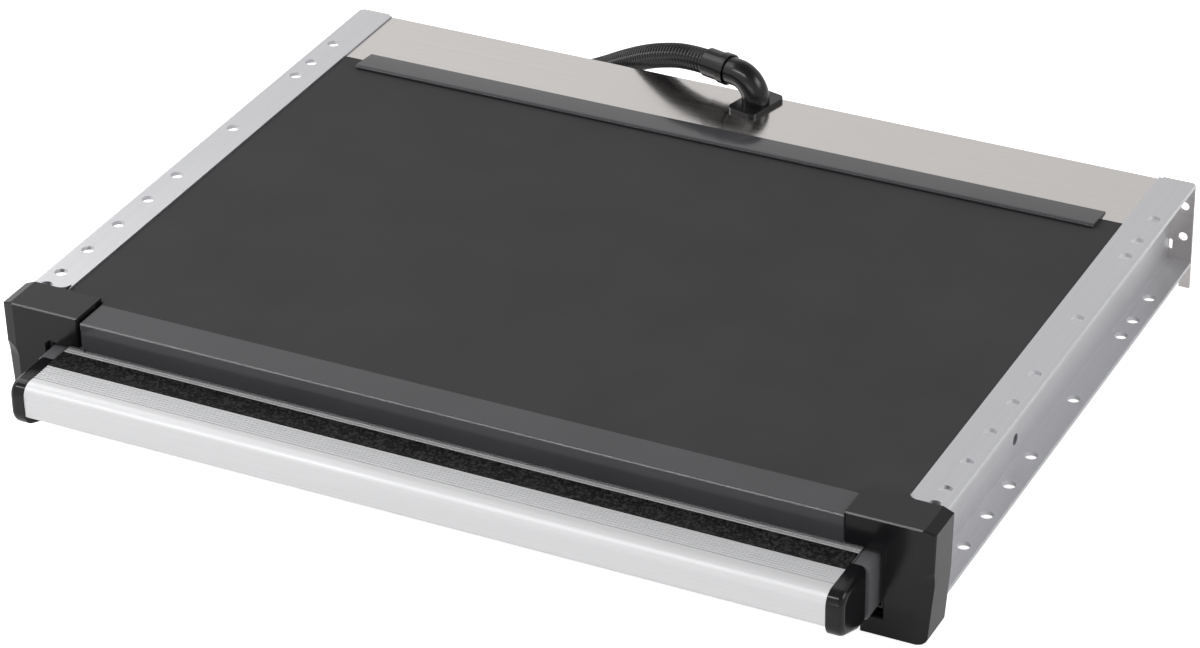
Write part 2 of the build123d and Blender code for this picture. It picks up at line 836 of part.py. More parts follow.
gearbox_boss_places = (
    (shaft_y + gearbox_hub_r + gearbox_boss_inset, rail_bottom + gearbox_boss_inset),
    (gearbox_neck_y, gearbox_low_z - gearbox_boss_inset),
    (gearbox_neck_y + gearbox_boss_inset, gearbox_tall_z - gearbox_boss_inset),
    (gearbox_end_y - gearbox_boss_inset, gearbox_tall_z - gearbox_boss_inset),
    (gearbox_end_y - gearbox_boss_inset, rail_bottom + gearbox_boss_inset),
)
gearbox_foot_screws = [
    (gearbox_x + gearbox_width / 2, gearbox_neck_y),
    (gearbox_x + gearbox_width / 2, gearbox_end_y - 2 * gearbox_boss_inset),
]


def gearbox_outline():
    """Add the gearbox's side profile, with its shaft hole, to the sketch that is open."""
    outline(
        (shaft_y, rail_bottom),
        (gearbox_end_y, rail_bottom),
        (gearbox_end_y, gearbox_tall_z),
        (gearbox_neck_y, gearbox_tall_z),
        (gearbox_neck_y, gearbox_low_z),
        (shaft_y, gearbox_low_z),
    )
    fillet(vertices().group_by(Axis.Y)[-1], gearbox_round)
    with Locations((shaft_y, shaft_z)):
        Circle(gearbox_hub_r)
        Circle(shaft_r + seat_clear, mode=Mode.SUBTRACT)


with BuildPart() as gearbox_housing:
    with BuildSketch(lengthwise(gearbox_x)):
        gearbox_outline()
    extrude(amount=gearbox_width)
    with BuildSketch(lengthwise(gearbox_x + gearbox_width)):
        with Locations(*gearbox_boss_places):
            Circle(gearbox_screw_r + thread_clear)
    extrude(amount=-gearbox_width / 2, mode=Mode.SUBTRACT)
    screw_holes(gearbox_foot_screws, screw_r + thread_clear, bracket_foot_wall)
save(gearbox_housing.part, "gearbox_housing")

with BuildPart() as gearbox_cover:
    with BuildSketch(lengthwise(gearbox_x + gearbox_width)):
        gearbox_outline()
        with Locations(*gearbox_boss_places):
            Circle(gearbox_screw_r + thread_clear, mode=Mode.SUBTRACT)
    extrude(amount=gearbox_cover_wall)
save(gearbox_cover.part, "gearbox_cover")

with BuildPart() as gearbox_screws:
    cover_side = lengthwise(gearbox_x + gearbox_width + gearbox_cover_wall)
    with BuildSketch(cover_side):
        with Locations(*gearbox_boss_places):
            Circle(gearbox_screw_head_r)
    extrude(amount=gearbox_screw_head)
    with BuildSketch(cover_side):
        with Locations(*gearbox_boss_places):
            Circle(gearbox_screw_r)
    extrude(amount=-gearbox_cover_wall - gearbox_width / 2 + thread_clear)
save(gearbox_screws.part, "gearbox_screws")

with BuildPart() as motor_can:
    with BuildSketch(lengthwise(gearbox_x)):
        with Locations((motor_y, motor_z)):
            Circle(motor_r)
    extrude(amount=-motor_length)
save(motor_can.part, "motor_can")

motor_end_x = gearbox_x - motor_length
lead_r = 3.5
lead_exit_gap = 3.0
lead_drop = 14.0

with BuildPart() as motor_end_cap:
    with BuildSketch(lengthwise(motor_end_x)):
        with Locations((motor_y, motor_z)):
            Circle(motor_r - motor_pole_flat)
    extrude(amount=-motor_cap_length)
    fillet(edges().sort_by(Axis.X)[0], nose_foot_round)
    with BuildSketch(upright(motor_y + motor_r + lead_exit_gap)):
        with Locations((motor_end_x - motor_cap_length / 2, motor_z - lead_drop)):
            Circle(motor_cap_length / 2 - bush_flange)
    extrude(amount=motor_r)
save(motor_end_cap.part, "motor_end_cap")

# Cradle that carries the motor can on the pan, cut to the can's round
cradle_x = motor_end_x + motor_length / 3
cradle_width = 24.0
cradle_half = 24.0
cradle_height = 18.0
cradle_ear = 6.0
cradle_screws = [
    (cradle_x + cradle_width / 2, motor_y - cradle_half + cradle_ear),
    (cradle_x + cradle_width / 2, motor_y + cradle_half - cradle_ear),
]

with BuildPart() as motor_cradle:
    with BuildSketch(lengthwise(cradle_x)):
        block(motor_y - cradle_half, motor_y + cradle_half, rail_bottom, rail_bottom + cradle_height)
        with Locations((motor_y, motor_z)):
            Circle(motor_r + thread_clear, mode=Mode.SUBTRACT)
    extrude(amount=cradle_width)
    screw_holes(cradle_screws, screw_r + thread_clear, bracket_foot_wall)
save(motor_cradle.part, "motor_cradle")

# Platform planks: hollow extrusions with grooves, grip strips and ports for the arm screws
plank_wall = 2.2
plank_web_shares = (0.25, 0.5, 0.75)
strip_recess_shares = (0.18, 0.62)
strip_share = 0.2
plank_groove_share = 0.43
plank_groove_count = 9
deck_strip_proud = 0.3
plank_half = arm_inner_x


def plank_profile(start):
    """Add the section of one plank, which starts at the given y, to the sketch that is open."""
    block(start, start + plank_depth, deck_bottom, deck_top)
    offset(amount=-plank_wall, kind=Kind.INTERSECTION, mode=Mode.SUBTRACT)
    for share in plank_web_shares:
        web_y = start + share * plank_depth
        block(web_y - plank_wall / 2, web_y + plank_wall / 2, deck_bottom, deck_top)
    port_ys = [start + share * plank_depth for share in plank_screw_shares]
    with Locations(*[(y, deck_port_z) for y in port_ys]):
        Circle(deck_port_r)
        Circle(deck_screw_r + thread_clear, mode=Mode.SUBTRACT)
    for share in strip_recess_shares:
        recess = start + share * plank_depth
        block(
            recess,
            recess + strip_share * plank_depth,
            deck_top - tape_depth,
            deck_top + overrun,
            mode=Mode.SUBTRACT,
        )
    grooves(start + plank_groove_share * plank_depth, plank_groove_count, deck_top, rib_groove_depth)


front_plank_y = deck_front
rear_plank_y = deck_front + plank_depth
notch_in = rack_in - seat_clear
notch_top = rack_top + seat_clear

with BuildPart() as front_plank:
    with BuildSketch(lengthwise(-plank_half)):
        plank_profile(front_plank_y)
    extrude(amount=2 * plank_half)
save(front_plank.part, "front_plank")

with BuildPart() as rear_plank:
    with BuildSketch(lengthwise(-plank_half)):
        plank_profile(rear_plank_y)
    extrude(amount=2 * plank_half)
    # The ends are notched over the racks
    with BuildSketch(level(notch_top)):
        block(notch_in, plank_half, rear_plank_y, deck_rear)
        mirror(about=Plane.YZ)
    extrude(amount=-deck_height, mode=Mode.SUBTRACT)
save(rear_plank.part, "rear_plank")

with BuildPart() as deck_grip_strips:
    with BuildSketch(lengthwise(-plank_half)):
        for start in (front_plank_y, rear_plank_y):
            for share in strip_recess_shares:
                recess = start + share * plank_depth
                block(
                    recess + seat_clear,
                    recess + strip_share * plank_depth - seat_clear,
                    deck_top - tape_depth,
                    deck_top + deck_strip_proud,
                )
    extrude(amount=2 * plank_half)
save(deck_grip_strips.part, "deck_grip_strips")

with BuildPart() as deck_screws:
    for y in deck_screw_ys:
        countersunk_screw(arm_side(y, deck_port_z), deck_screw_r, deck_screw_head_r, deck_screw_length)
    mirror(about=Plane.YZ)
save(deck_screws.part, "deck_screws")

with BuildPart() as glide_screws:
    for y in glide_screw_ys:
        plane = arm_side(y, glide_middle_z, glide_out)
        length = glide_out - arm_inner_x
        countersunk_screw(plane, glide_screw_r, glide_screw_head_r, length)
    mirror(about=Plane.YZ)
save(glide_screws.part, "glide_screws")

# Base pan and front crossbar under the platform
crossbar_depth = 18.0
crossbar_height = 20.0
crossbar_wall = 2.0
crossbar_gap = 2.0
crossbar_lap = 21.0
crossbar_front = cap_rear - crossbar_lap
crossbar_half = arm_inner_x - crossbar_gap
crossbar_screw_shares = (-0.8, 0.0, 0.8)
crossbar_screws = [
    (share * crossbar_half, crossbar_front + crossbar_depth / 2) for share in crossbar_screw_shares
]
drain_length = 60.0
drain_width = 8.0
drain_columns = 4
drain_rows = 2
drain_x_share = 0.22
drain_y_share = 0.44
drain_spacing_x = drain_x_share * rail_span
drain_spacing_y = drain_y_share * body_depth

with BuildPart() as front_crossbar:
    with BuildSketch(lengthwise(-crossbar_half)):
        block(crossbar_front, crossbar_front + crossbar_depth, rail_bottom, rail_bottom + crossbar_height)
        offset(amount=-crossbar_wall, kind=Kind.INTERSECTION, mode=Mode.SUBTRACT)
    extrude(amount=2 * crossbar_half)
    screw_holes(crossbar_screws, screw_r + thread_clear, crossbar_wall)
save(front_crossbar.part, "front_crossbar")

mirrored_screws = [(-x, y) for x, y in lip_screws + bracket_screws]
all_screws = (
    lip_screws + bracket_screws + mirrored_screws + gearbox_foot_screws + cradle_screws + crossbar_screws
)
pan_front = crossbar_front
pan_middle = (pan_front + rail_rear) / 2

with BuildPart() as base_pan:
    with BuildSketch(level(pan_bottom)):
        block(-web_in, web_in, pan_front, rail_rear)
        corner_notches(cap_slot_out - seat_clear, web_in, pan_front, cap_rear + seat_clear)
        with Locations((0, pan_middle)):
            with GridLocations(drain_spacing_x, drain_spacing_y, drain_columns, drain_rows):
                SlotOverall(drain_length, drain_width, mode=Mode.SUBTRACT)
        with Locations(*all_screws):
            Circle(screw_r + thread_clear, mode=Mode.SUBTRACT)
    extrude(amount=pan_wall)
save(base_pan.part, "base_pan")

with BuildPart() as pan_screws:
    with BuildSketch(level(pan_bottom)):
        with Locations(*all_screws):
            Circle(screw_head_r)
    extrude(amount=-screw_head)
    with BuildSketch(level(pan_bottom)):
        with Locations(*all_screws):
            Circle(screw_r)
    extrude(amount=pan_wall + crossbar_wall)
save(pan_screws.part, "pan_screws")

# Limit switches beside the left rack's path, whose levers feel the rack at each end of the travel
switch_length = 20.0
switch_width = 6.5
switch_height = 17.0
switch_gap = 2.0
switch_lap = 4.0
lever_wall = 0.8
switch_out = rack_in - switch_gap
switch_top = rail_bottom + switch_height
lever_top = rack_tip_z - seat_clear
switch_ys = {
    "limit_switch_in": rack_rear - 2 * switch_length,
    "limit_switch_out": rack_rear - travel + switch_gap,
}

for name, switch_y in switch_ys.items():
    with BuildPart() as limit_switch:
        with BuildSketch(lengthwise(-switch_out)):
            block(switch_y, switch_y + switch_length, rail_bottom, switch_top)
        extrude(amount=switch_width)
        with BuildSketch(lengthwise(-rack_in - switch_lap)):
            outline(
                (switch_y, switch_top),
                (switch_y + 2 * lever_wall, switch_top),
                (switch_y + switch_length, lever_top - lever_wall),
                (switch_y + switch_length, lever_top),
            )
        extrude(amount=switch_lap + switch_gap + switch_width)
    save(limit_switch.part, name)

# Conduit fittings on the rear member: a flange, an elbow and a coupling collar
fitting_turn = 14.0
flange_plate_length = 38.6
flange_plate_width = 24.0
flange_plate_wall = 3.0
flange_plate_round = 5.0
conduit_r = 9.25
elbow_r = 10.0
elbow_bend_r = 16.5
elbow_rise = 21.0
elbow_tail = 10.0
collar_ring_r = 11.6
collar_ring = 6.0
collar_r = 10.7
collar_length = 17.0
collar_lap = 3.0
elbow_axis_z = cover_top + elbow_rise
heading = Vector(-cos(radians(fitting_turn)), sin(radians(fitting_turn)), 0)
fitting_foot = Vector(fitting_x, fitting_y, cover_top)
elbow_foot = fitting_foot + Vector(0, 0, flange_plate_wall)
elbow_corner = Vector(fitting_x, fitting_y, elbow_axis_z)
elbow_end = elbow_corner + heading * (elbow_bend_r + elbow_tail)

with BuildPart() as conduit_flange:
    plate_plane = Plane(origin=fitting_foot, x_dir=heading, z_dir=(0, 0, 1))
    with BuildSketch(plate_plane):
        RectangleRounded(flange_plate_width, flange_plate_length, flange_plate_round)
        Circle(elbow_bore_r, mode=Mode.SUBTRACT)
    extrude(amount=flange_plate_wall)
save(conduit_flange.part, "conduit_flange")

with BuildPart() as conduit_elbow:
    with BuildLine() as elbow_path:
        FilletPolyline(elbow_foot, elbow_corner, elbow_end, radius=elbow_bend_r)
    with BuildSketch(Plane(origin=elbow_foot, z_dir=(0, 0, 1))):
        Circle(elbow_r)
        Circle(elbow_bore_r, mode=Mode.SUBTRACT)
    sweep(path=elbow_path.line)
save(conduit_elbow.part, "conduit_elbow")

end_plane = Plane(origin=elbow_end, x_dir=(0, 0, 1), z_dir=heading)

with BuildPart() as conduit_collar:
    with BuildSketch(end_plane.offset(-collar_lap)):
        Circle(collar_ring_r)
    extrude(amount=collar_ring)
    with BuildSketch(end_plane):
        Circle(collar_r)
    extrude(amount=collar_length)
    with BuildSketch(end_plane):
        Circle(elbow_r + thread_clear)
    extrude(amount=-collar_lap, mode=Mode.SUBTRACT)
    with BuildSketch(end_plane):
        Circle(conduit_r + seat_clear)
    extrude(amount=collar_length, mode=Mode.SUBTRACT)
save(conduit_collar.part, "conduit_collar")

# Conduit route, from the elbow's end over the rear edge and down to the ground behind
conduit_exit_run = 33.0
route = [
    tuple(elbow_end),
    tuple(elbow_end + heading * conduit_exit_run),
    (-87.0, 277.0, 91.5),
    (-115.8, 290.7, 74.9),
    (-146.0, 306.0, 54.0),
    (-180.0, 320.0, 34.0),
    (-218.0, 329.0, 18.5),
    (-259.0, 330.0, 9.7),
    (-300.0, 330.0, 9.7),
]
conduit_bore_r = 7.0
conduit_root_r = 7.9
conduit_ribs = 70
rib_shares = (0.0, 0.2, 0.6, 0.8)
route_share = 0.45
gap_points = 24


def corner_radii(points):
    """Return the arc radius at each corner of a route, from its two runs and its turn."""
    vectors = [Vector(*point) for point in points]
    radii = []
    for before, at, after in zip(vectors, vectors[1:], vectors[2:]):
        turn = (at - before).get_angle(after - at)
        shorter = min((at - before).length, (after - at).length)
        radii.append(route_share * shorter / tan(radians(turn) / 2))
    return radii


def route_plane(wire, place):
    """Return the plane across the wire at a share of its length, with its X axis level."""
    tangent = wire % place
    return Plane(origin=wire @ place, x_dir=tangent.cross(Vector(0, 0, 1)), z_dir=tangent)


def least_rib_gap(wire):
    """Return the smallest gap between the crests of two ribs, measured on points."""
    gaps = []
    for rib in range(conduit_ribs - 1):
        behind = route_plane(wire, (rib + rib_shares[2]) / conduit_ribs)
        ahead = route_plane(wire, (rib + 1 + rib_shares[1]) / conduit_ribs)
        for index in range(gap_points):
            angle = 2 * pi * index / gap_points
            crest = (conduit_r * cos(angle), conduit_r * sin(angle), 0)
            gaps.append((behind.from_local_coords(crest) - ahead.from_local_coords(crest)).length)
    return min(gaps)


route_radii = corner_radii(route)
print("conduit radii", [round(radius, 1) for radius in route_radii])

with BuildPart() as conduit:
    with BuildLine() as conduit_line:
        conduit_wire = FilletPolyline(*route, radius=route_radii)
    for rib in range(conduit_ribs):
        for share, radius in zip(rib_shares, (conduit_root_r, conduit_r, conduit_r, conduit_root_r)):
            with BuildSketch(route_plane(conduit_wire, (rib + share) / conduit_ribs)):
                Circle(radius)
    with BuildSketch(route_plane(conduit_wire, 1)):
        Circle(conduit_root_r)
    loft(ruled=True)
    with BuildSketch(route_plane(conduit_wire, 0)):
        Circle(conduit_bore_r)
    sweep(path=conduit_line.line, mode=Mode.SUBTRACT)
conduit_length = conduit_wire.length
tube_area = pi * (conduit_r**2 - conduit_bore_r**2)
print("conduit length", round(conduit_length, 1), "least gap of ribs", round(least_rib_gap(conduit_wire), 2))
print("conduit volume", round(conduit.part.volume), "plain tube", round(tube_area * conduit_length))
save(conduit.part, "conduit")

# Connector at the conduit's far end
connector_boot_length = 12.0
connector_length = 26.0
connector_width = 27.0
connector_height = 18.0
connector_round = 2.5
connector_socket_wall = 2.0
connector_socket_depth = 14.0
connector_latch_width = 7.0
connector_latch_height = 1.6
connector_latch_length = 16.0
conduit_end = Vector(*route[-1])
latch_end = conduit_end.X - connector_boot_length - connector_latch_width
boot_plane = Plane(origin=conduit_end, x_dir=(0, 1, 0), z_dir=(-1, 0, 0))

with BuildPart() as connector_boot:
    with BuildSketch(boot_plane):
        Circle(conduit_r)
    with BuildSketch(boot_plane.offset(connector_boot_length)):
        Circle(conduit_bore_r)
    loft(ruled=True)
save(connector_boot.part, "connector_boot")

with BuildPart() as connector:
    housing_plane = boot_plane.offset(connector_boot_length)
    with BuildSketch(housing_plane):
        RectangleRounded(connector_width, connector_height, connector_round)
    extrude(amount=connector_length)
    with BuildSketch(housing_plane.offset(connector_length)):
        RectangleRounded(
            connector_width - 2 * connector_socket_wall,
            connector_height - 2 * connector_socket_wall,
            connector_round / 2,
        )
    extrude(amount=-connector_socket_depth, mode=Mode.SUBTRACT)
    # The latch on top
    with BuildSketch(level(conduit_end.Z + connector_height / 2)):
        block(
            latch_end - connector_latch_length,
            latch_end,
            conduit_end.Y - connector_latch_width / 2,
            conduit_end.Y + connector_latch_width / 2,
        )
    extrude(amount=connector_latch_height)
save(connector.part, "connector")

# Motor lead, from the motor's end cap along the pan and up through the rear member's hole
lead_bend_r = 25.0
lead_entry = 6.0
clip_share = 0.45
clip_width = 8.0
clip_wall = 2.5
lead_x = motor_end_x - motor_cap_length / 2
lead_z = motor_z - lead_drop
lead_start = Vector(lead_x, motor_y + motor_r + lead_exit_gap, lead_z)
lead_corner = Vector(lead_x, fitting_y, lead_z)
lead_end = Vector(fitting_x, fitting_y, cover_top + flange_plate_wall + lead_entry)
lead_plane = Plane(origin=lead_start, x_dir=(1, 0, 0), z_dir=(0, 1, 0))

with BuildPart() as motor_lead:
    with BuildLine() as lead_path:
        FilletPolyline(lead_start, lead_corner, lead_end, radius=lead_bend_r)
    with BuildSketch(lead_plane):
        Circle(lead_r)
    sweep(path=lead_path.line)
save(motor_lead.part, "motor_lead")

clip_y = lead_start.Y + clip_share * (lead_corner.Y - lead_start.Y)
clip_half = lead_r + clip_wall

with BuildPart() as lead_clip:
    with BuildSketch(upright(clip_y + clip_width)):
        block(lead_x - clip_half, lead_x + clip_half, rail_bottom, lead_z)
        with Locations((lead_x, lead_z)):
            Circle(clip_half)
            Circle(lead_r + thread_clear, mode=Mode.SUBTRACT)
    extrude(amount=clip_width)
save(lead_clip.part, "lead_clip")
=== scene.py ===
# Looks of the caravan pull out step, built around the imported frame.
#
# All lengths are in metres, in the frame's own axes: X to the right, Y to the rear, Z up.
# The nodes keep their place. Copies with chamfered or rounded edges stand in for the most
# visible ones, and a finely corrugated tube stands in for the conduit.
import json
from math import atan2, cos, hypot, pi, radians, sin

import bmesh
import bpy
from mathutils import Matrix, Vector


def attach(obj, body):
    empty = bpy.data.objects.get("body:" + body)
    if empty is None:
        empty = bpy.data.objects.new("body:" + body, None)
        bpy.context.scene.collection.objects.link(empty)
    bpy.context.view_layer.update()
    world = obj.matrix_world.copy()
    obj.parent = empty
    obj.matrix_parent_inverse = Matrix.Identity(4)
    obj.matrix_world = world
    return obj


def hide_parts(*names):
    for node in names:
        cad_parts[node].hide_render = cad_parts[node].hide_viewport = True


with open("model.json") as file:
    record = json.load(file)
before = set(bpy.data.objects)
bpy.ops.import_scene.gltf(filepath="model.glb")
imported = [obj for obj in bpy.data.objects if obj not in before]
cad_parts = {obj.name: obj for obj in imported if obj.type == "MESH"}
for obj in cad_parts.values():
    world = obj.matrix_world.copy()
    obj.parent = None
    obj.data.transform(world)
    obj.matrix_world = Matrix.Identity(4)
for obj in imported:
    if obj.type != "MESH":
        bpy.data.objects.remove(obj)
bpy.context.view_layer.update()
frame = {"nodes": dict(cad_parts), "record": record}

nodes = frame["nodes"]

# Camera, fitted to the photograph's straight edges and rows of holes
PHOTO_WIDTH = 1200
FOCAL_PIXELS = 4237.0
SENSOR_MILLIMETRES = 36.0
CAMERA_PLACE = Vector((1.118, -2.2115, 1.497))
CAMERA_AZIMUTH = radians(26.78)
CAMERA_ELEVATION = radians(30.57)
CAMERA_ROLL = radians(-1.05)
CAMERA_RANGE = (0.05, 50.0)

# Soft edges that moulding, pressing and deburring leave on the nodes in sight: their width and,
# for crisp chamfers, the least bend in degrees at which an edge stays sharp in the shading
SOFT_EDGES = {
    "end_cap": (0.0009, 11),
    "front_fascia": (0.0004, 20),
    "top_cover": (0.0003, None),
    "rear_member": (0.0003, None),
    "rear_trim_strip": (0.0004, None),
    "rail": (0.00035, None),
    "tread_cap": (0.0005, None),
    "arm": (0.0006, None),
    "conduit_flange": (0.0008, None),
    "conduit_collar": (0.0006, None),
    "connector": (0.0006, None),
}

# The bends in degrees above which an edge is chamfered or rounded. Chamfers are cut only in
# front of one Y, around the front faces of the caps and the fascia
CHAMFER_BEND = 50
CHAMFERED_BEFORE = -0.2135
ROUND_BEND = 28
ROUND_SEGMENTS = 2

# The flat along the fascia's rounded front edge: the round's centre (Y, Z), its radius, how
# close to it a vertex lies, and the angles from the vertical between which it is flat
FASCIA_CENTRE = (-0.2151, 0.0808)
FASCIA_RADIUS = 0.0014
FASCIA_TOLERANCE = 0.00003
FASCIA_FLAT = (radians(25), radians(65))

# Cleaning of the copies: the distance below which vertices are one, before and after the edges
# are cut, and the bend below which two faces are one
JOIN_DISTANCE = 0.000005
WELD_DISTANCE = 0.000002
FLAT_BEND = radians(0.6)

# Conduit: the control points of its route's spline, the spline's order and resolution, its radii
# over the ribs, between the ribs and inside, and the sides of its rings
CONDUIT_ROUTE = (
    (-0.022214, 0.258011, 0.1028),
    (-0.054233, 0.265994, 0.1028),
    (-0.0870, 0.2770, 0.0915),
    (-0.1158, 0.2907, 0.0749),
    (-0.1460, 0.3060, 0.0540),
    (-0.1800, 0.3200, 0.0340),
    (-0.2180, 0.3290, 0.0185),
    (-0.2590, 0.3300, 0.0097),
    (-0.3000, 0.3300, 0.0097),
)
ROUTE_ORDER = 3
ROUTE_RESOLUTION = 64
CONDUIT_RADIUS = 0.00925
CONDUIT_ROOT_RADIUS = 0.0081
CONDUIT_BORE_RADIUS = 0.0070
CONDUIT_SIDES = 40

# The conduit's ribs: their pitch, the route's steps along one rib, one rib as shares of the
# pitch and of the height, and the steps to each side that give the route's direction
RIB_PITCH = 0.0029
RIB_STEPS = 20
RIB_PROFILE = (
    (0.0, 0.0), (0.14, 0.0), (0.26, 0.8), (0.36, 1.0), (0.64, 1.0), (0.74, 0.8), (0.86, 0.0)
)
TANGENT_STEPS = 2

# Light: the tent's levels between two heights and between two X of a direction, the floor's
# looks and its own glow for the camera and for reflections, and the lamps with their place,
# target, size and power
WHITE = (1.0, 1.0, 1.0, 1.0)
TENT_HEIGHTS = (0.45, 0.95)
TENT_LEVELS = (0.9, 0.3)
TENT_SIDES = (-0.55, 0.1)
TENT_SIDE_LEVELS = (1.0, 0.72)
FLOOR_REACH = 6.0
FLOOR_COLOUR = (0.9, 0.9, 0.9, 1.0)
FLOOR_ROUGHNESS = 0.9
FLOOR_SPECULAR = 0.1
FLOOR_SEEN = 0.8
FLOOR_MIRRORED = 0.15
LAMPS = {
    "front_top": ((-1.0, -1.45, 1.98), (-1.0, -0.1, 0), (2.0, 0.2), 17),
    "front_low": ((0.3, -2.4, 0.5), (0.3, 0, 0), (1.6, 0.5), 4),
    "left": ((-1.15, 0.2, 1.0), (0, 0, 0), (0.9, 0.9), 6),
    "right": ((1.9, 0.3, 1.5), (0.3, 0, 0), (1.4, 0.9), 13),
}

# Materials: the range that noise mostly keeps to, and the part of it over which the tape's grit
# turns from dark to light; how far colour and roughness wander over a surface; the depth of
# brushed lines and of the grain on mouldings; and the sockets of a Mix node that take and give
# colours
NOISE_RANGE = (0.3, 0.7)
GRIT_RANGE = (0.46, 0.62)
CLOUD_TINT = 0.07
CLOUD_ROUGHNESS = 0.03
LINE_ROUGHNESS = 0.05
LINE_DEPTH = 0.00002
GRAIN_DEPTH = 0.00003
MIX_DARK, MIX_LIGHT, MIX_RESULT = 6, 7, 2


def make_camera():
    """Create the camera at the photograph's viewing angle."""
    data = bpy.data.cameras.new("camera")
    camera = bpy.data.objects.new("camera", data)
    bpy.context.scene.collection.objects.link(camera)
    a, e, r = CAMERA_AZIMUTH, CAMERA_ELEVATION, CAMERA_ROLL
    back = Vector((sin(a) * cos(e), -cos(a) * cos(e), sin(e)))
    right = Vector((cos(a), sin(a), 0.0))
    up = back.cross(right)
    rolled_right = right * cos(r) + up * sin(r)
    rolled_up = up * cos(r) - right * sin(r)
    turn = Matrix((rolled_right, rolled_up, back)).transposed().to_4x4()
    camera.matrix_world = Matrix.Translation(CAMERA_PLACE) @ turn
    data.sensor_width = SENSOR_MILLIMETRES
    data.lens = FOCAL_PIXELS / PHOTO_WIDTH * SENSOR_MILLIMETRES
    data.clip_start, data.clip_end = CAMERA_RANGE
    bpy.context.scene.camera = camera


def add_math(tree, operation, first, second):
    """Add a maths node to a tree; each input is a socket or a number. Return its output."""
    node = tree.nodes.new("ShaderNodeMath")
    node.operation = operation
    for socket, value in zip(node.inputs, (first, second)):
        if isinstance(value, bpy.types.NodeSocket):
            tree.links.new(value, socket)
        else:
            socket.default_value = value
    return node.outputs[0]


def add_range(tree, value, source, target, interpolation="LINEAR"):
    """Add a map of a value from one range to another to a tree. Return its output."""
    node = tree.nodes.new("ShaderNodeMapRange")
    node.interpolation_type = interpolation
    tree.links.new(value, node.inputs["Value"])
    node.inputs["From Min"].default_value, node.inputs["From Max"].default_value = source
    node.inputs["To Min"].default_value, node.inputs["To Max"].default_value = target
    return node.outputs["Result"]


class Shader:
    """A small helper that adds and links the nodes of one material."""

    def __init__(self, name, colour, roughness, metallic=0.0, specular=0.5):
        self.material = bpy.data.materials.new(name)
        self.material.use_nodes = True
        self.tree = self.material.node_tree
        self.surface = self.tree.nodes["Principled BSDF"]
        self.surface.inputs["Base Color"].default_value = (*colour, 1.0)
        self.surface.inputs["Roughness"].default_value = roughness
        self.surface.inputs["Metallic"].default_value = metallic
        self.surface.inputs["Specular IOR Level"].default_value = specular
        self.coordinates = self.add("ShaderNodeTexCoord").outputs["Object"]
        self.normal = None

    def add(self, kind, **inputs):
        """Add a node, set its inputs by name, and return it."""
        node = self.tree.nodes.new(kind)
        for key, value in inputs.items():
            socket = node.inputs[key]
            if isinstance(value, bpy.types.NodeSocket):
                self.tree.links.new(value, socket)
            else:
                socket.default_value = value
        return node

    def link(self, source, target):
        """Link an output to one of the surface's inputs."""
        self.tree.links.new(source, self.surface.inputs[target])

    def scaled(self, scale):
        """Return object coordinates scaled along the three axes."""
        return self.add("ShaderNodeMapping", Vector=self.coordinates, Scale=scale).outputs["Vector"]

    def noise(self, scale, vector=None, detail=3.0, rough=0.55):
        """Return a noise value, which mostly keeps to NOISE_RANGE."""
        source = self.coordinates if vector is None else vector
        node = self.add(
            "ShaderNodeTexNoise", Vector=source, Scale=scale, Detail=detail, Roughness=rough
        )
        return node.outputs["Fac"]

    def spread(self, value, low, high, source=NOISE_RANGE):
        """Return a value mapped from its own range to low and high."""
        return add_range(self.tree, value, source, (low, high))

    def tint(self, value, colour, darker, lighter):
        """Make the surface's colour wander between a darker and a lighter shade of it."""
        node = self.tree.nodes.new("ShaderNodeMix")
        node.data_type = "RGBA"
        self.tree.links.new(value, node.inputs["Factor"])
        for socket, share in ((MIX_DARK, darker), (MIX_LIGHT, lighter)):
            shade = [min(1.0, part * share) for part in colour]
            node.inputs[socket].default_value = (*shade, 1.0)
        self.link(node.outputs[MIX_RESULT], "Base Color")

    def bump(self, height, strength, distance):
        """Add a bump on top of those before it."""
        node = self.add("ShaderNodeBump", Height=height, Strength=strength, Distance=distance)
        if self.normal is not None:
            self.tree.links.new(self.normal, node.inputs["Normal"])
        self.normal = node.outputs["Normal"]
        self.link(self.normal, "Normal")


def brushed(name, colour, roughness, scale, contrast, metallic=1.0):
    """Return brushed or extruded metal, with fine lines along the axis of the least scale."""
    shader = Shader(name, colour, roughness, metallic=metallic)
    lines = shader.noise(scale=1.0, vector=shader.scaled(scale), detail=4.0)
    cloud = shader.noise(scale=9.0, detail=2.0)
    shader.tint(shader.spread(lines, 0, 1), colour, 1 - contrast, 1 + contrast)
    by_lines = shader.spread(lines, roughness - LINE_ROUGHNESS, roughness + LINE_ROUGHNESS)
    by_cloud = shader.spread(cloud, -CLOUD_ROUGHNESS, CLOUD_ROUGHNESS)
    shader.link(add_math(shader.tree, "ADD", by_lines, by_cloud), "Roughness")
    shader.bump(lines, strength=0.25, distance=LINE_DEPTH)
    return shader.material


def moulded(name, colour, roughness, specular=0.5, grain=0.35, grain_scale=2600.0):
    """Return moulded plastic or coated metal with a fine grain and slight unevenness."""
    shader = Shader(name, colour, roughness, specular=specular)
    cloud = shader.noise(scale=14.0, detail=3.0)
    fine = shader.noise(scale=grain_scale, detail=2.0)
    shader.tint(shader.spread(cloud, 0, 1), colour, 1 - CLOUD_TINT, 1 + CLOUD_TINT)
    wander = shader.spread(cloud, roughness - CLOUD_ROUGHNESS, roughness + CLOUD_ROUGHNESS)
    shader.link(wander, "Roughness")
    shader.bump(fine, strength=grain, distance=GRAIN_DEPTH)
    return shader.material


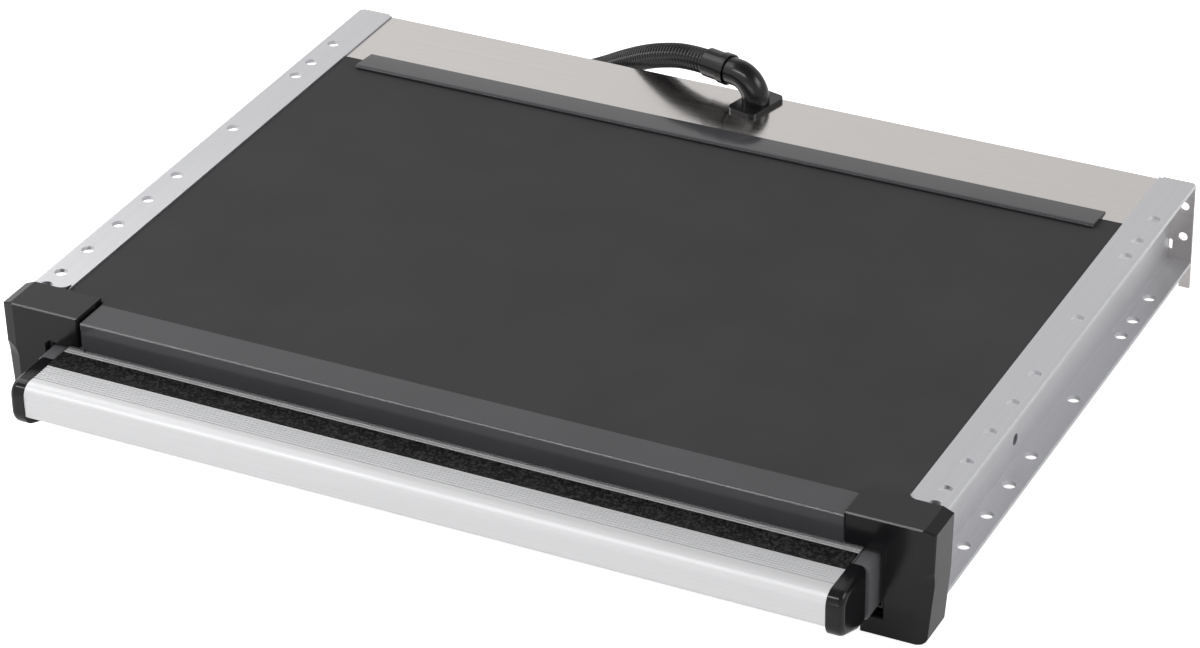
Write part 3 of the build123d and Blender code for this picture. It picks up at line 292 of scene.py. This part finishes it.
def gritty(name, colour):
    """Return coarse anti slip tape: dark grit with some grains that catch the light."""
    shader = Shader(name, colour, roughness=0.75, specular=0.25)
    grains = shader.add("ShaderNodeTexVoronoi", Vector=shader.coordinates, Scale=900.0)
    blotch = shader.noise(scale=480.0, detail=2.0, rough=0.6)
    shader.tint(shader.spread(blotch, 0, 1, GRIT_RANGE), colour, darker=0.3, lighter=4.5)
    shader.link(shader.spread(blotch, low=0.6, high=0.9), "Roughness")
    shader.bump(grains.outputs["Distance"], strength=0.9, distance=0.0006)
    shader.bump(blotch, strength=0.8, distance=0.0005)
    return shader.material


# The record's slots. After the colour come, for brushed metal, its roughness, the scale of its
# lines along the three axes, their contrast and how metallic it is, and for a moulding its
# roughness, its specular level, and the strength and scale of its grain
LOOKS = {
    "rail_aluminium": (brushed, (0.69, 0.69, 0.71), 0.42, (900, 3, 900), 0.04, 0.9),
    "tread_aluminium": (brushed, (0.74, 0.74, 0.75), 0.48, (3, 900, 900), 0.03, 0.4),
    "rear_steel": (brushed, (0.66, 0.635, 0.62), 0.17, (2.5, 600, 600), 0.03),
    "black_cover": (moulded, (0.052, 0.052, 0.054), 0.6, 0.05),
    "black_profile": (moulded, (0.053, 0.053, 0.057), 0.13, 0.42),
    "black_moulding": (moulded, (0.0075, 0.0075, 0.0085), 0.16, 0.33),
    # A darker, rougher copy of black_moulding for the left cap only: painted shade, which keeps the
    # left cap darker than the same moulding on the right where the left lamp falls on it
    "cap_left_moulding": (moulded, (0.0055, 0.0055, 0.006), 0.22),
    "arm_steel": (moulded, (0.15, 0.15, 0.157), 0.35, 0.6),
    "grip": (gritty, (0.0085, 0.0085, 0.0085)),
    "guide_plastic": (moulded, (0.012, 0.012, 0.012), 0.5),
    "bumper_rubber": (moulded, (0.01, 0.01, 0.01), 0.7),
    "zinc_steel": (brushed, (0.55, 0.55, 0.53), 0.35, (300, 300, 300), 0.1),
    "gear_steel": (brushed, (0.3, 0.3, 0.31), 0.35, (20, 500, 500), 0.1),
    "bronze": (brushed, (0.5, 0.32, 0.14), 0.4, (500, 500, 500), 0.1),
    "cast_housing": (moulded, (0.3, 0.31, 0.32), 0.5, 0.5, 0.6, 900.0),
    "motor_black": (moulded, (0.012, 0.012, 0.012), 0.25),
    "conduit_plastic": (moulded, (0.0045, 0.0045, 0.005), 0.2, 0.5, 0.2),
    "connector_plastic": (moulded, (0.014, 0.014, 0.015), 0.45),
    "lead_rubber": (moulded, (0.01, 0.01, 0.01), 0.6),
    "switch_plastic": (moulded, (0.02, 0.02, 0.022), 0.45),
}


def dress(materials):
    """Give every node the material of its slot."""
    for row in frame["record"]["subparts"]:
        mesh = nodes[row["node"]].data
        mesh.materials.clear()
        mesh.materials.append(materials[row["material_slot"]])


def body_of(name):
    """Return the body that a node belongs to."""
    bodies = frame["record"]["behaviour"]["bodies"]
    return next(body for body, members in bodies.items() if name in members)


def slot_of(name):
    """Return the record's material slot of a node."""
    rows = frame["record"]["subparts"]
    return next(row["material_slot"] for row in rows if row["node"] == name)


def new_piece(name, mesh, material):
    """Link a mesh as a new object with one material."""
    piece = bpy.data.objects.new(name, mesh)
    bpy.context.scene.collection.objects.link(piece)
    mesh.materials.clear()
    mesh.materials.append(material)
    return piece


def flatten_fascia(shape):
    """Make the middle of the fascia's rounded edge a flat, which catches the light as a line."""
    spare = []
    for vertex in shape.verts:
        ahead, above = FASCIA_CENTRE[0] - vertex.co.y, vertex.co.z - FASCIA_CENTRE[1]
        on_round = abs(hypot(ahead, above) - FASCIA_RADIUS) < FASCIA_TOLERANCE
        if on_round and FASCIA_FLAT[0] < atan2(ahead, above) < FASCIA_FLAT[1]:
            spare.append(vertex)
    bmesh.ops.dissolve_verts(shape, verts=spare)


def chamfer(shape, width, crease):
    """Cut crisp chamfers on the front's sharp edges, and mark the creases for the shading."""
    edges = [
        edge for edge in shape.edges
        if edge.calc_face_angle(0.0) > radians(CHAMFER_BEND)
        and max(vertex.co.y for vertex in edge.verts) < CHAMFERED_BEFORE
    ]
    ends = list({vertex for edge in edges for vertex in edge.verts})
    ends.sort(key=lambda vertex: vertex.index)
    bmesh.ops.bevel(
        shape, geom=edges + ends, offset=width, segments=1, affect="EDGES", clamp_overlap=False
    )
    bmesh.ops.remove_doubles(shape, verts=shape.verts, dist=WELD_DISTANCE)
    for edge in shape.edges:
        edge.smooth = edge.calc_face_angle(0.0) < radians(crease)


def weigh(shape):
    """Mark the edges that the bevel modifier rounds, and shade across all of them."""
    weight = shape.edges.layers.float.new("bevel_weight_edge")
    for edge in shape.edges:
        edge.smooth = True
        edge[weight] = float(edge.calc_face_angle(0.0) > radians(ROUND_BEND))


def soften(name, materials, width, crease):
    """Stand in for a node with a copy that has chamfers, or rounds where crease is None."""
    mesh = nodes[name].data.copy()
    mesh.name = f"{name}_soft"
    shape = bmesh.new()
    shape.from_mesh(mesh)
    bmesh.ops.remove_doubles(shape, verts=shape.verts, dist=JOIN_DISTANCE)
    bmesh.ops.dissolve_limit(
        shape, angle_limit=FLAT_BEND, verts=shape.verts, edges=shape.edges
    )
    if name == "front_fascia":
        flatten_fascia(shape)
    if crease is None:
        weigh(shape)
    else:
        chamfer(shape, width, crease)
    for face in shape.faces:
        face.smooth = True
    shape.to_mesh(mesh)
    shape.free()
    piece = new_piece(f"{name}_soft", mesh, materials[slot_of(name)])
    if crease is None:
        bevel = piece.modifiers.new("bevel", "BEVEL")
        bevel.width = width
        bevel.segments = ROUND_SEGMENTS
        bevel.limit_method = "WEIGHT"
        weld = piece.modifiers.new("weld", "WELD")
        weld.merge_threshold = WELD_DISTANCE
    smooth = piece.modifiers.new("normals", "WEIGHTED_NORMAL")
    smooth.keep_sharp = crease is not None
    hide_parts(name)
    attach(piece, body_of(name))
    return piece


def route_samples(points, step):
    """Return points along the route's NURBS spline, about one step apart, and its length."""
    curve = bpy.data.curves.new("route", "CURVE")
    curve.dimensions = "3D"
    spline = curve.splines.new("NURBS")
    spline.points.add(len(points) - 1)
    for point, place in zip(spline.points, points):
        point.co = (*place, 1.0)
    spline.order_u = ROUTE_ORDER
    spline.use_endpoint_u = True
    spline.resolution_u = ROUTE_RESOLUTION
    holder = bpy.data.objects.new("route", curve)
    bpy.context.scene.collection.objects.link(holder)
    line = bpy.data.meshes.new_from_object(holder)
    dense = [vertex.co.copy() for vertex in line.vertices]
    bpy.data.objects.remove(holder)
    bpy.data.curves.remove(curve)
    bpy.data.meshes.remove(line)
    runs = [(b - a).length for a, b in zip(dense, dense[1:])]
    total = sum(runs)
    count = round(total / step)
    places, index, passed = [], 0, 0.0
    for number in range(count + 1):
        want = total * number / count
        while index < len(runs) - 1 and passed + runs[index] < want:
            passed += runs[index]
            index += 1
        share = (want - passed) / runs[index] if runs[index] else 0.0
        places.append(dense[index].lerp(dense[index + 1], min(1.0, share)))
    return places, total


def ring(shape, centre, tangent, side, radius):
    """Add one ring of vertices around a point of the route."""
    up = tangent.cross(side)
    turns = [2 * pi * number / CONDUIT_SIDES for number in range(CONDUIT_SIDES)]
    return [
        shape.verts.new(centre + side * radius * cos(turn) + up * radius * sin(turn))
        for turn in turns
    ]


def bridge(shape, rings):
    """Join each ring to the next one by quads."""
    for first, second in zip(rings, rings[1:]):
        for k in range(CONDUIT_SIDES):
            after = (k + 1) % CONDUIT_SIDES
            shape.faces.new((first[k], first[after], second[after], second[k]))


def make_conduit(materials):
    """Build the corrugated conduit as one tube that follows the route's spline."""
    places, total = route_samples(CONDUIT_ROUTE, RIB_PITCH / RIB_STEPS)
    last = len(places) - 1
    ribs = round(total / RIB_PITCH)
    rib_height = CONDUIT_RADIUS - CONDUIT_ROOT_RADIUS
    shape = bmesh.new()
    outer, inner = [], []
    for rib in range(ribs):
        for share, height in RIB_PROFILE:
            at = min(last, round((rib + share) / ribs * last))
            outer.append((at, CONDUIT_ROOT_RADIUS + height * rib_height))
        inner.append((round(rib / ribs * last), CONDUIT_BORE_RADIUS))
    outer.append((last, CONDUIT_ROOT_RADIUS))
    inner.append((last, CONDUIT_BORE_RADIUS))

    def rings(rows):
        made = []
        for at, radius in rows:
            before, after = max(0, at - TANGENT_STEPS), min(last, at + TANGENT_STEPS)
            tangent = (places[after] - places[before]).normalized()
            side = tangent.cross(Vector((0, 0, 1))).normalized()
            made.append(ring(shape, places[at], tangent, side, radius))
        return made

    walls = rings(outer) + rings(inner)[::-1]
    bridge(shape, [*walls, walls[0]])
    bmesh.ops.recalc_face_normals(shape, faces=shape.faces)
    mesh = bpy.data.meshes.new("conduit_ribbed")
    shape.to_mesh(mesh)
    shape.free()
    for face in mesh.polygons:
        face.use_smooth = True
    piece = new_piece("conduit_ribbed", mesh, materials["conduit_plastic"])
    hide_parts("conduit")
    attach(piece, "root")
    path = places[:: 2 * RIB_STEPS]
    if path[-1] != places[-1]:
        path.append(places[-1])


def area_light(name, place, target, size, power):
    """Add a soft rectangular lamp that looks at a target."""
    data = bpy.data.lights.new(name, "AREA")
    data.shape = "RECTANGLE"
    data.size, data.size_y = size
    data.energy = power
    lamp = bpy.data.objects.new(name, data)
    lamp.location = place
    lamp.rotation_euler = (Vector(target) - Vector(place)).to_track_quat("-Z", "Y").to_euler()
    bpy.context.scene.collection.objects.link(lamp)


def make_studio():
    """Make the white background, a tent that is darker overhead and to the right, and lamps."""
    scene = bpy.context.scene
    scene.view_settings.view_transform = "Standard"
    world = bpy.data.worlds.new("studio")
    world.use_nodes = True
    scene.world = world
    tree = world.node_tree
    background = tree.nodes["Background"]
    background.inputs["Color"].default_value = WHITE
    way = tree.nodes.new("ShaderNodeSeparateXYZ")
    tree.links.new(tree.nodes.new("ShaderNodeTexCoord").outputs["Generated"], way.inputs[0])
    overhead = add_range(tree, way.outputs["Z"], TENT_HEIGHTS, TENT_LEVELS, "SMOOTHSTEP")
    sideways = add_range(tree, way.outputs["X"], TENT_SIDES, TENT_SIDE_LEVELS, "SMOOTHSTEP")
    tent = add_math(tree, "MULTIPLY", overhead, sideways)
    rays = tree.nodes.new("ShaderNodeLightPath").outputs
    seen = add_math(tree, "MAXIMUM", rays["Is Camera Ray"], rays["Is Transmission Ray"])
    tree.links.new(add_math(tree, "MAXIMUM", tent, seen), background.inputs["Strength"])
    for name, lamp in LAMPS.items():
        area_light(name, *lamp)


def make_floor():
    """Make the pale floor, which the camera sees as white except for the object's shadow."""
    shape = bmesh.new()
    bmesh.ops.create_grid(shape, x_segments=1, y_segments=1, size=FLOOR_REACH)
    mesh = bpy.data.meshes.new("floor")
    shape.to_mesh(mesh)
    shape.free()
    material = bpy.data.materials.new("floor")
    material.use_nodes = True
    floor = new_piece("floor", mesh, material)
    tree = material.node_tree
    surface = tree.nodes["Principled BSDF"]
    surface.inputs["Base Color"].default_value = FLOOR_COLOUR
    surface.inputs["Roughness"].default_value = FLOOR_ROUGHNESS
    surface.inputs["Specular IOR Level"].default_value = FLOOR_SPECULAR
    surface.inputs["Emission Color"].default_value = WHITE
    rays = tree.nodes.new("ShaderNodeLightPath").outputs
    seen = add_math(tree, "MULTIPLY", rays["Is Camera Ray"], FLOOR_SEEN)
    mirrored = add_math(tree, "MULTIPLY", rays["Is Glossy Ray"], FLOOR_MIRRORED)
    tree.links.new(add_math(tree, "ADD", seen, mirrored), surface.inputs["Emission Strength"])


make_camera()
materials = {name: make(name, *look) for name, (make, *look) in LOOKS.items()}
dress(materials)
for name, edges in SOFT_EDGES.items():
    for node in [name] if name in nodes else [f"left_{name}", f"right_{name}"]:
        soften(node, materials, *edges)
make_conduit(materials)
make_studio()
make_floor()
